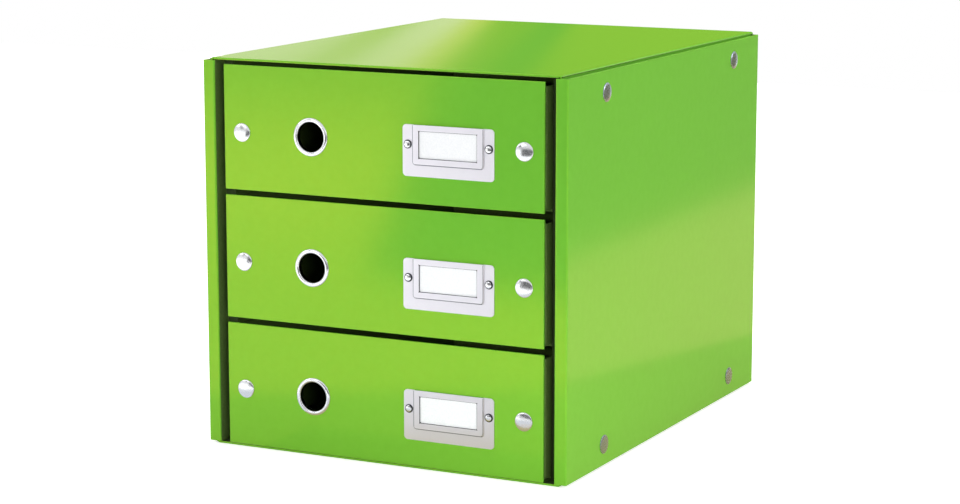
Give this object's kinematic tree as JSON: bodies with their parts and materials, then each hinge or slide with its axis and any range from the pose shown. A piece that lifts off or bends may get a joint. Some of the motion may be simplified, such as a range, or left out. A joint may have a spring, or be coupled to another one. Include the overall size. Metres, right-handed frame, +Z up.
{
  "type": "drawer cabinet",
  "caption": "Desktop document cabinet of folded laminated board with sliding drawers, press studs, metal-ringed thumb holes and label holders.",
  "frame": {"origin": "centre of the underside, halfway from side to side and from the drawers' front plane to the back face", "axes": "+X to the right when facing the drawers, +Y from the drawers' fronts to the back, +Z up"},
  "size_m": [0.289, 0.3597, 0.282],
  "materials": {
    "laminated_board": "gloss",
    "dark_board": "matte",
    "nickel_plated_steel": "polished",
    "white_card": "matte"
  },
  "bodies": {
    "cabinet": {"wrap_panel": "laminated_board", "left_side": "laminated_board", "right_side": "laminated_board", "side_stud_caps": "nickel_plated_steel", "side_stud_sockets": "nickel_plated_steel", "side_stud_posts": "nickel_plated_steel", "lower_liner": "dark_board", "middle_liner": "dark_board", "upper_liner": "dark_board"},
    "lower_drawer": {"lower_tray": "dark_board", "lower_front_panel": "laminated_board", "lower_thumb_ring": "nickel_plated_steel", "lower_thumb_ring_washer": "nickel_plated_steel", "lower_label_holder": "nickel_plated_steel", "lower_label_rivets": "nickel_plated_steel", "lower_stud_caps": "nickel_plated_steel", "lower_stud_sockets": "nickel_plated_steel", "lower_stud_posts": "nickel_plated_steel"},
    "lower_card": {"lower_label_card": "white_card"},
    "middle_drawer": {"middle_tray": "dark_board", "middle_front_panel": "laminated_board", "middle_thumb_ring": "nickel_plated_steel", "middle_thumb_ring_washer": "nickel_plated_steel", "middle_label_holder": "nickel_plated_steel", "middle_label_rivets": "nickel_plated_steel", "middle_stud_caps": "nickel_plated_steel", "middle_stud_sockets": "nickel_plated_steel", "middle_stud_posts": "nickel_plated_steel"},
    "middle_card": {"middle_label_card": "white_card"},
    "upper_drawer": {"upper_tray": "dark_board", "upper_front_panel": "laminated_board", "upper_thumb_ring": "nickel_plated_steel", "upper_thumb_ring_washer": "nickel_plated_steel", "upper_label_holder": "nickel_plated_steel", "upper_label_rivets": "nickel_plated_steel", "upper_stud_caps": "nickel_plated_steel", "upper_stud_sockets": "nickel_plated_steel", "upper_stud_posts": "nickel_plated_steel"},
    "upper_card": {"upper_label_card": "white_card"}
  },
  "joints": [
    {"name": "lower_drawer_slide", "type": "slide", "parent": "cabinet", "child": "lower_drawer", "axis": [0, -1, 0], "range_m": [0, 0.3]},
    {"name": "lower_card_slide", "type": "slide", "parent": "lower_drawer", "child": "lower_card", "axis": [0, 0, 1], "range_m": [0, 0.028]},
    {"name": "middle_drawer_slide", "type": "slide", "parent": "cabinet", "child": "middle_drawer", "axis": [0, -1, 0], "range_m": [0, 0.3]},
    {"name": "middle_card_slide", "type": "slide", "parent": "middle_drawer", "child": "middle_card", "axis": [0, 0, 1], "range_m": [0, 0.028]},
    {"name": "upper_drawer_slide", "type": "slide", "parent": "cabinet", "child": "upper_drawer", "axis": [0, -1, 0], "range_m": [0, 0.3]},
    {"name": "upper_card_slide", "type": "slide", "parent": "upper_drawer", "child": "upper_card", "axis": [0, 0, 1], "range_m": [0, 0.028]}
  ]
}
